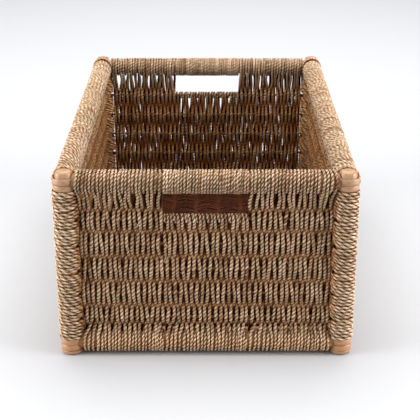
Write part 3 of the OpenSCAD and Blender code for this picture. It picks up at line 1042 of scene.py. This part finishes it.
def add_node(tree, kind, settings=None, **sockets):
    """A node with its settings. A socket value that is an output is linked, and a socket
    is named, or given by its place as i0, i1 and so on.
    """
    node = tree.nodes.new(kind)
    for key, value in (settings or {}).items():
        setattr(node, key, value)
    for key, value in sockets.items():
        by_place = key[0] == "i" and key[1:].isdigit()
        socket = node.inputs[int(key[1:]) if by_place else key]
        if isinstance(value, bpy.types.NodeSocket):
            tree.links.new(value, socket)
        else:
            socket.default_value = value
    return node


def ramp(tree, factor, stops):
    """A colour from a ramp with the given (place, colour) stops."""
    node = add_node(tree, "ShaderNodeValToRGB", Fac=factor)
    elements = node.color_ramp.elements
    while len(elements) < len(stops):
        elements.new(0.5)
    for element, (place, colour) in zip(elements, stops):
        element.position = place
        element.color = (*colour, 1.0)
    return node.outputs["Color"]


def noise(tree, place, scale, detail, **more):
    """Smooth noise at a place, from nought to one."""
    sockets = {"Vector": place, "Scale": scale, "Detail": detail, **more}
    return add_node(tree, "ShaderNodeTexNoise", **sockets).outputs["Fac"]


def attribute(tree, name, output="Vector"):
    """A value stored beside the points of a mesh."""
    return add_node(tree, "ShaderNodeAttribute", {"attribute_name": name}).outputs[output]


def object_place(tree):
    """The place on the object, in metres."""
    return add_node(tree, "ShaderNodeTexCoord").outputs["Object"]


def mixed(tree, kind, factor, a, b):
    """Two colours mixed by a factor."""
    node = add_node(tree, "ShaderNodeMix", {"data_type": "RGBA", "blend_type": kind}, i0=factor)
    for socket, value in ((node.inputs[6], a), (node.inputs[7], b)):
        if isinstance(value, bpy.types.NodeSocket):
            tree.links.new(value, socket)
        else:
            socket.default_value = (*value, 1.0)
    return node.outputs[2]


def number(tree, operation, a, b=0.0, c=0.0, clamp=False):
    """A Math node's result."""
    settings = {"operation": operation, "use_clamp": clamp}
    return add_node(tree, "ShaderNodeMath", settings, i0=a, i1=b, i2=c).outputs[0]


def new_group(name, inputs, outputs):
    """An empty shader node group with (name, socket kind, default) inputs and outputs."""
    tree = bpy.data.node_groups.new(name, "ShaderNodeTree")
    for label, kind, default in inputs:
        socket = tree.interface.new_socket(label, in_out="INPUT", socket_type=kind)
        if default is not None:
            socket.default_value = default
    for label, kind in outputs:
        tree.interface.new_socket(label, in_out="OUTPUT", socket_type=kind)
    return tree, tree.nodes.new("NodeGroupInput").outputs, tree.nodes.new("NodeGroupOutput").inputs


def fibre_group():
    """Fibres that run with the cord: long streaks, fine threads and scattered flecks, under
    painted shade that darkens and warms with depth, and a painted warm tint.
    """
    name = "Plant fibre"
    if name in bpy.data.node_groups:
        return bpy.data.node_groups[name]
    tree, given, result = new_group(
        name,
        [
            ("Place", "NodeSocketVector", None),
            ("Colour", "NodeSocketColor", (0.5, 0.35, 0.2, 1)),
            ("Depth Colour", "NodeSocketColor", (0.1, 0.05, 0.02, 1)),
            ("Fleck Colour", "NodeSocketColor", (0.8, 0.65, 0.45, 1)),
            # Depth is the share of painted shade, and Warmth the share of painted warmth
            ("Depth", "NodeSocketFloat", 0.0),
            ("Warmth", "NodeSocketFloat", 0.0),
            ("Fineness", "NodeSocketFloat", 3.0),
        ],
        [("Colour", "NodeSocketColor"), ("Height", "NodeSocketFloat")],
    )
    place = given["Place"]
    streak = noise(tree, place, given["Fineness"], 3.0, Roughness=0.65)
    fine = number(tree, "MULTIPLY", given["Fineness"], 3.1)
    thread = noise(tree, place, fine, 2.0)
    blotch = noise(tree, place, 0.9, 2.0)
    dark = number(tree, "MULTIPLY_ADD", streak, -2.6, 1.62, clamp=True)
    dark = number(tree, "MULTIPLY", dark, 0.55)
    colour = mixed(tree, "MIX", dark, given["Colour"], given["Depth Colour"])
    fleck = number(tree, "MULTIPLY_ADD", thread, 6.0, -3.5, clamp=True)
    fleck = number(tree, "MULTIPLY", fleck, 0.5)
    colour = mixed(tree, "MIX", fleck, colour, given["Fleck Colour"])
    stain = number(tree, "MULTIPLY_ADD", blotch, -3.0, 1.45, clamp=True)
    stain = number(tree, "MULTIPLY", stain, 0.35)
    colour = mixed(tree, "MIX", stain, colour, given["Depth Colour"])
    # Painted shade: the colour darkens and grows warmer with depth
    warm = ramp(
        tree,
        given["Depth"],
        [
            (0.0, (1.0, 1.0, 1.0)),
            (0.17, (0.85, 0.74, 0.62)),
            (0.35, (0.67, 0.46, 0.29)),
            (0.6, (0.36, 0.185, 0.075)),
            (0.8, (0.17, 0.068, 0.018)),
            (1.0, (0.07, 0.022, 0.004)),
        ],
    )
    colour = mixed(tree, "MULTIPLY", 1.0, colour, warm)
    # Painted warmth inside the basket and on the lower rails
    painted_warmth = mixed(tree, "MIX", given["Warmth"], (1.0, 1.0, 1.0), (1.0, 0.74, 0.46))
    colour = mixed(tree, "MULTIPLY", 1.0, colour, painted_warmth)
    tree.links.new(colour, result["Colour"])
    height = number(tree, "MULTIPLY_ADD", thread, 0.5, streak)
    tree.links.new(height, result["Height"])
    return tree


def grain_group():
    """Long wood grain with pores, and soft rings where leaves once grew."""
    name = "Cane grain"
    if name in bpy.data.node_groups:
        return bpy.data.node_groups[name]
    tree, given, result = new_group(
        name,
        [
            ("Place", "NodeSocketVector", None),
            ("Light", "NodeSocketColor", (0.6, 0.4, 0.2, 1)),
            ("Dark", "NodeSocketColor", (0.3, 0.15, 0.06, 1)),
            ("Blotch", "NodeSocketFloat", 1.0),
        ],
        [("Colour", "NodeSocketColor"), ("Height", "NodeSocketFloat")],
    )
    place = given["Place"]
    grain = noise(tree, place, 1.0, 5.0, Roughness=0.6, Distortion=0.3)
    pore = noise(tree, place, 4.3, 2.0)
    patch = noise(tree, place, 0.21, 3.0)
    tone = number(tree, "MULTIPLY_ADD", grain, 2.4, -0.7, clamp=True)
    shade = number(tree, "MULTIPLY_ADD", patch, -2.2, 1.35, clamp=True)
    shade = number(tree, "MULTIPLY", shade, given["Blotch"])
    colour = mixed(tree, "MIX", tone, given["Dark"], given["Light"])
    colour = mixed(tree, "MIX", shade, colour, given["Dark"])
    speck = number(tree, "MULTIPLY_ADD", pore, -7.0, 2.6, clamp=True)
    speck = number(tree, "MULTIPLY", speck, 0.6)
    colour = mixed(tree, "MIX", speck, colour, given["Dark"])
    tree.links.new(colour, result["Colour"])
    height = number(tree, "MULTIPLY_ADD", pore, 0.4, grain)
    tree.links.new(height, result["Height"])
    return tree


def new_material(name, roughness, **shader_values):
    """A material with a Principled shader whose plain values are set on its sockets."""
    material = bpy.data.materials.new(name)
    material.use_nodes = True
    tree = material.node_tree
    shader = tree.nodes["Principled BSDF"]
    shader.inputs["Roughness"].default_value = roughness
    for key, value in shader_values.items():
        shader.inputs[key.replace("_", " ")].default_value = value
    return material, tree, shader


def bumped(tree, shader, height, distance, strength=0.6):
    """Feeds a height to the shader's normal; distance is in metres."""
    node = add_node(
        tree, "ShaderNodeBump", Height=height, Distance=distance, Strength=strength
    )
    tree.links.new(node.outputs["Normal"], shader.inputs["Normal"])


def seagrass_material(colours):
    """Dried seagrass: strands of several dry colours, with painted shade between the plies and in
    hollows.
    """
    name = "Seagrass cord"
    if name in bpy.data.materials:
        return bpy.data.materials[name]
    material, tree, shader = new_material(name, 0.6, Specular_IOR_Level=0.15)
    parts = add_node(tree, "ShaderNodeSeparateXYZ", Vector=attribute(tree, "tint")).outputs
    hue = ramp(
        tree,
        parts["Y"],
        [
            (0.0, colours.seagrass_green),
            (0.3, colours.seagrass_green),
            (0.45, colours.seagrass_tan),
            (0.62, colours.seagrass_tan),
            (0.8, colours.seagrass_pink),
            (1.0, colours.seagrass_cream),
        ],
    )
    # Tone: random, and raised by painted light on the lower rails' outside
    lighter = number(tree, "MULTIPLY", parts["X"], 1.7, clamp=True)
    darker = number(tree, "MULTIPLY", parts["X"], -2.0, clamp=True)
    colour = mixed(tree, "MIX", lighter, hue, tuple(colours.seagrass_cream))
    colour = mixed(tree, "MIX", darker, colour, tuple(colours.seagrass_brown))
    # The tint's third value is the painted shade depth
    group = add_node(
        tree,
        "ShaderNodeGroup",
        {"node_tree": fibre_group()},
        Place=attribute(tree, "strand"),
        Colour=colour,
        Depth=parts["Z"],
        Warmth=attribute(tree, "warmth", "Fac"),
        Fineness=3.0,
    )
    group.inputs["Depth Colour"].default_value = (*colours.seagrass_brown, 1.0)
    group.inputs["Fleck Colour"].default_value = (*colours.seagrass_cream, 1.0)
    tree.links.new(group.outputs["Colour"], shader.inputs["Base Color"])
    bumped(tree, shader, group.outputs["Height"], 0.00035)
    return material


def grain_material(name, light, dark, place, blotch, roughness, bump, **shader_values):
    """Wood or peel, with its grain along the piece: place is an attribute, or None for the
    place on the object, and the stretch that it is given.
    """
    if name in bpy.data.materials:
        return bpy.data.materials[name]
    material, tree, shader = new_material(name, roughness, **shader_values)
    stored, stretch = place
    source = attribute(tree, stored) if stored else object_place(tree)
    stretched = add_node(tree, "ShaderNodeMapping", Vector=source, Scale=stretch)
    group = add_node(
        tree,
        "ShaderNodeGroup",
        {"node_tree": grain_group()},
        Place=stretched.outputs["Vector"],
        Light=(*light, 1.0),
        Dark=(*dark, 1.0),
        Blotch=blotch,
    )
    tree.links.new(group.outputs["Colour"], shader.inputs["Base Color"])
    bumped(tree, shader, group.outputs["Height"], bump)
    return material


def peel_material(colours, at_foot=False):
    """Satin cane peel with fine lengthwise grain, redder at the feet."""
    name = "Cane peel at the feet" if at_foot else "Cane peel"
    light = colours.foot_light if at_foot else colours.peel_light
    dark = colours.foot_dark if at_foot else colours.peel_dark
    coat = {"Coat_Weight": 0.15, "Coat_Roughness": 0.3}
    place = ("strand", (0.16, 1.7, 1.0))
    return grain_material(name, light, dark, place, 0.5, 0.38, 0.00012, **coat)


def lengthwise(axis, across, along):
    """A pattern's stretch on the object, with its grain along one axis."""
    return None, [along if letter == axis else across for letter in "xyz"]


def pole_material(colours, axis):
    """Rattan pole with its grain along one axis."""
    name = f"Rattan pole along {axis}"
    light, dark = colours.pole_light, colours.pole_dark
    place = lengthwise(axis, 520.0, 55.0)
    return grain_material(name, light, dark, place, 0.7, 0.55, 0.0002, Specular_IOR_Level=0.25)


def rod_material(colours, axis):
    """Thin rattan core rod with open pores, its grain coloured darker as painted shade."""
    name = f"Rattan core along {axis}"
    light, dark = colours.core_grain_light_painted_shade, colours.core_grain_dark_painted_shade
    place = lengthwise(axis, 1500.0, 90.0)
    return grain_material(name, light, dark, place, 0.5, 0.75, 0.00012, Specular_IOR_Level=0.1)


def steel_material():
    """Dull nail steel with fine scratches and a little rust."""
    name = "Nail steel"
    if name in bpy.data.materials:
        return bpy.data.materials[name]
    material, tree, shader = new_material(name, 0.38, Metallic=1.0)
    scratch = noise(tree, object_place(tree), 900.0, 4.0)
    rust = number(tree, "MULTIPLY_ADD", scratch, 5.0, -2.7, clamp=True)
    colour = mixed(tree, "MIX", rust, (0.55, 0.55, 0.56), (0.3, 0.16, 0.08))
    tree.links.new(colour, shader.inputs["Base Color"])
    rough = number(tree, "MULTIPLY_ADD", scratch, 0.4, 0.2)
    tree.links.new(rough, shader.inputs["Roughness"])
    bumped(tree, shader, scratch, 0.00004)
    return material


# ---------------------------------------------------------------- operators


class BASKET_OT_weave_walls(bpy.types.Operator):
    """Weave the four walls of seagrass cord"""

    bl_idname = "basket.weave_walls"
    bl_label = "Weave walls"

    def execute(self, context):
        cord = context.scene.basket_cord
        finish = seagrass_material(context.scene.basket_colour)
        for seed, side in enumerate(WALLS):
            rng = np.random.default_rng(100 + seed)
            bays, axis = wall_paths(side, cord, rng)
            for i, paths in enumerate(bays):
                name = f"seagrass_wall_{side}_{i + 1}"
                piece = cord_piece(name, paths, axis, cord, rng, RING_STEP, cord.lay)
                finish_piece(piece, "seagrass", finish, f"weave_{side}")
        return {"FINISHED"}


class BASKET_OT_weave_base(bpy.types.Operator):
    """Weave the base of seagrass cord"""

    bl_idname = "basket.weave_base"
    bl_label = "Weave base"

    def execute(self, context):
        cord = context.scene.basket_cord
        finish = seagrass_material(context.scene.basket_colour)
        rng = np.random.default_rng(200)
        halves, axis = base_paths(cord, rng)
        for i, paths in enumerate(halves):
            name = f"seagrass_base_{i + 1}"
            piece = cord_piece(name, paths, axis, cord, rng, BASE_RING_STEP, cord.lay)
            finish_piece(piece, "seagrass", finish, "weave_base")
        return {"FINISHED"}


class BASKET_OT_wind_posts(bpy.types.Operator):
    """Wind seagrass cord round the four posts"""

    bl_idname = "basket.wind_posts"
    bl_label = "Wind posts"

    def execute(self, context):
        cord = context.scene.basket_cord
        finish = seagrass_material(context.scene.basket_colour)
        lengthwise_axis, upright = np.array([[0.0, 1.0, 0.0], [0.0, 0.0, 1.0]])
        for seed, (corner, (sx, sy)) in enumerate(CORNERS.items()):
            rng = np.random.default_rng(300 + seed)
            name = f"seagrass_winding_{corner}"
            path = at_corner(post_path(cord, rng), sx, sy)
            turns = (name, [path], upright, cord, rng, RING_STEP, cord.winding_lay, WINDING_PALER)
            finish_piece(cord_piece(*turns), "seagrass", finish, f"winding_{corner}")
            name = f"seagrass_corner_{corner}"
            arcs = [at_corner(arc, sx, sy) for arc in corner_arcs(rng)]
            piece = cord_piece(name, arcs, lengthwise_axis, cord, rng, RING_STEP, cord.lay)
            finish_piece(piece, "seagrass", finish)
        return {"FINISHED"}


class BASKET_OT_fold_caps(bpy.types.Operator):
    """Fold strips of cane peel over the tops of the posts"""

    bl_idname = "basket.fold_caps"
    bl_label = "Fold caps"

    def execute(self, context):
        peel = context.scene.basket_peel
        finish = peel_material(context.scene.basket_colour)
        for corner, (sx, sy) in CORNERS.items():
            piece = ribbon_piece(f"peel_cap_{corner}", [cap_shell(peel)], sx, sy)
            finish_piece(piece, "cane_peel", finish, f"cap_{corner}")
        return {"FINISHED"}


class BASKET_OT_wind_peel(bpy.types.Operator):
    """Wind flat cane peel below the caps and round the feet"""

    bl_idname = "basket.wind_peel"
    bl_label = "Wind peel"

    def execute(self, context):
        peel = context.scene.basket_peel
        finish = peel_material(context.scene.basket_colour)
        foot_finish = peel_material(context.scene.basket_colour, at_foot=True)
        thick = peel.peel_t * MM
        for seed, (corner, (sx, sy)) in enumerate(CORNERS.items()):
            rng = np.random.default_rng(400 + seed)
            inner = BAND_R - thick
            low, high = BAND_LOW[2], BAND_HIGH[2]
            band = wound_turns(low, high, peel.band_turns, inner, thick, TOP_Z, rng)
            piece = ribbon_piece(f"peel_turns_{corner}", band, sx, sy)
            finish_piece(piece, "cane_peel", finish, f"peel_band_{corner}")
            low, high = LOW_Z - RAIL_R - 0.05, FOOT_HIGH[2]
            inner = POST_R + PEEL_GAP
            turns = wound_turns(
                low, high, peel.foot_turns, inner, FOOT_R - inner, LOW_Z, rng, foot_outline
            )
            piece = ribbon_piece(f"peel_foot_{corner}", [foot_ring(), *turns], sx, sy)
            finish_piece(piece, "cane_peel", foot_finish, f"foot_peel_{corner}")
        return {"FINISHED"}


class BASKET_OT_loose_fibres(bpy.types.Operator):
    """Let loose fibres stand out of the cord"""

    bl_idname = "basket.loose_fibres"
    bl_label = "Loose fibres"

    def execute(self, context):
        cord = context.scene.basket_cord
        rng = np.random.default_rng(500)
        finish = seagrass_material(context.scene.basket_colour)
        skin = ROD_R + cord.cord_d * MM
        for side, (along, out, distance, length) in WALLS.items():
            count = int(cord.fibre_count * length / (2 * FRONT_LEN + 2 * SIDE_LEN))
            place = rng.uniform(-length / 2 + 3, length / 2 - 3, count)
            hand = cord.hand_w * MM / 2 + 3
            high = TOP_Z - RAIL_R - 4
            if side in ("front", "back"):
                high = np.where(np.abs(place) < hand, rod_heights(cord)[0] - 3, high)
            level = rng.uniform(0, 1, count) * (high - LOW_Z - 14) + LOW_Z + 14
            face = np.where(rng.uniform(0, 1, count) < 0.6, 1.0, -1.0)
            along_axis, out_axis = np.array(along, float), np.array(out, float)
            roots = (
                place[:, None] * along_axis
                + (distance + face * (skin - 0.8))[:, None] * out_axis
                + np.stack([0 * level, 0 * level, level], axis=1)
            )
            ways = (
                face[:, None] * out_axis * rng.uniform(0.15, 0.6, (count, 1))
                + along_axis * rng.normal(0, 0.5, (count, 1))
                + np.array([0.0, 0.0, 1.0]) * rng.normal(0, 0.8, (count, 1))
            )
            lengths = rng.gamma(2.2, 1.3, count) + 0.8
            piece = fibre_piece(f"seagrass_fibres_{side}", roots, ways, lengths, rng)
            finish_piece(piece, "seagrass", finish)
        straws = np.array(STRAWS)
        straws[:, 1] = -POST_Y - skin - 0.9
        roots, ways, lengths = straws[:, :3], straws[:, 3:6], straws[:, 6]
        piece = fibre_piece("seagrass_straws_front", roots, ways, lengths, rng, 4.5)
        finish_piece(piece, "seagrass", finish)
        return {"FINISHED"}


class BASKET_OT_finish_frame(bpy.types.Operator):
    """Give the poles, rods and nails their finishes"""

    bl_idname = "basket.finish_frame"
    bl_label = "Finish frame"

    def execute(self, context):
        colours = context.scene.basket_colour
        for name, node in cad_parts.items():
            axis = "y" if name.endswith(("left", "right")) or name == "base_rods" else "x"
            if name.startswith("post_"):
                finish = pole_material(colours, "z")
            elif "nails" in name:
                finish = steel_material()
            elif "rods" in name:
                finish = rod_material(colours, axis)
            elif "rail" in name or "pole" in name:
                finish = pole_material(colours, axis)
            else:
                continue
            node.data.materials.clear()
            node.data.materials.append(finish)
        return {"FINISHED"}


class BASKET_OT_stage(bpy.types.Operator):
    """Set up the pale floor, the soft light and the camera"""

    bl_idname = "basket.stage"
    bl_label = "Stage"

    def execute(self, context):
        scene = context.scene
        stage = scene.basket_stage
        half_width = 6000.0
        corners = np.array([[-1, -1, 0], [1, -1, 0], [1, 1, 0], [-1, 1, 0]]) * half_width
        floor = new_mesh("floor", corners, [np.array([[0, 1, 2, 3]])], smooth=False)
        material, tree, shader = new_material("Pale floor", 0.75, Specular_IOR_Level=0.2)
        place = object_place(tree)
        tone = tuple(scene.basket_colour.floor)
        low = tuple(0.985 * channel for channel in tone)
        colour = mixed(tree, "MIX", noise(tree, place, 2.0, 2.0), low, tone)
        # Painted light: the floor grows paler towards the back
        across = add_node(tree, "ShaderNodeSeparateXYZ", Vector=place).outputs["Y"]
        far = number(tree, "MULTIPLY_ADD", across, 0.75, -0.2, clamp=True)
        colour = mixed(tree, "MIX", far, colour, tuple(scene.basket_colour.floor_far_painted_light))
        tree.links.new(colour, shader.inputs["Base Color"])
        floor.data.materials.append(material)

        world = bpy.data.worlds.new("Soft surroundings")
        world.use_nodes = True
        background = world.node_tree.nodes["Background"]
        background.inputs["Color"].default_value = (1.0, 1.0, 1.0, 1.0)
        background.inputs["Strength"].default_value = stage.sky
        scene.world = world

        lamps = (
            ("top light", (0.0, 0.25, 1.9), (0.0, 0.0, 0.0), 1.9, stage.top_power),
            ("left light", (-1.5, -0.45, 0.5), (0.0, -80.0, 12.0), 1.0, stage.side_power),
            ("right light", (1.5, -0.45, 0.5), (0.0, 80.0, -12.0), 1.0, stage.side_power),
        )
        for name, place, turn, size, power in lamps:
            data = bpy.data.lights.new(name, "AREA")
            data.size = size
            data.energy = power
            lamp = bpy.data.objects.new(name, data)
            lamp.location = place
            lamp.rotation_euler = Euler([math.radians(angle) for angle in turn])
            scene.collection.objects.link(lamp)

        camera = bpy.data.objects.new("camera", bpy.data.cameras.new("camera"))
        camera.data.lens = stage.lens
        camera.data.sensor_width = 36.0
        camera.location = stage.camera_place
        camera.rotation_euler = Euler((math.pi / 2 - stage.tilt, 0.0, 0.0))
        scene.collection.objects.link(camera)
        scene.camera = camera
        scene.view_settings.view_transform = "Standard"
        scene.view_settings.look = "None"
        return {"FINISHED"}


class BASKET_PT_panel(bpy.types.Panel):
    """Lists the settings and the steps that make the basket"""

    bl_idname = "BASKET_PT_panel"
    bl_label = "Seagrass basket"
    bl_space_type = "VIEW_3D"
    bl_region_type = "UI"
    bl_category = "Basket"

    def draw(self, context):
        for key in SETTINGS:
            group = getattr(context.scene, key)
            box = self.layout.box()
            for prop in group.bl_rna.properties:
                if prop.identifier not in ("rna_type", "name"):
                    box.prop(group, prop.identifier)
        for step in STEPS:
            self.layout.operator(step.bl_idname)


STEPS = (
    BASKET_OT_stage,
    BASKET_OT_weave_walls,
    BASKET_OT_weave_base,
    BASKET_OT_wind_posts,
    BASKET_OT_fold_caps,
    BASKET_OT_wind_peel,
    BASKET_OT_loose_fibres,
    BASKET_OT_finish_frame,
)


def register():
    for group in SETTINGS.values():
        bpy.utils.register_class(group)
    for key, group in SETTINGS.items():
        setattr(bpy.types.Scene, key, PointerProperty(type=group))
    for step in STEPS:
        bpy.utils.register_class(step)
    bpy.utils.register_class(BASKET_PT_panel)


def unregister():
    bpy.utils.unregister_class(BASKET_PT_panel)
    for step in reversed(STEPS):
        bpy.utils.unregister_class(step)
    for key, group in SETTINGS.items():
        delattr(bpy.types.Scene, key)
        bpy.utils.unregister_class(group)


def main():
    """Makes the basket step by step."""
    register()
    for step in STEPS:
        family, action = step.bl_idname.split(".")
        getattr(getattr(bpy.ops, family), action)()


if __name__ == "__main__":
    main()
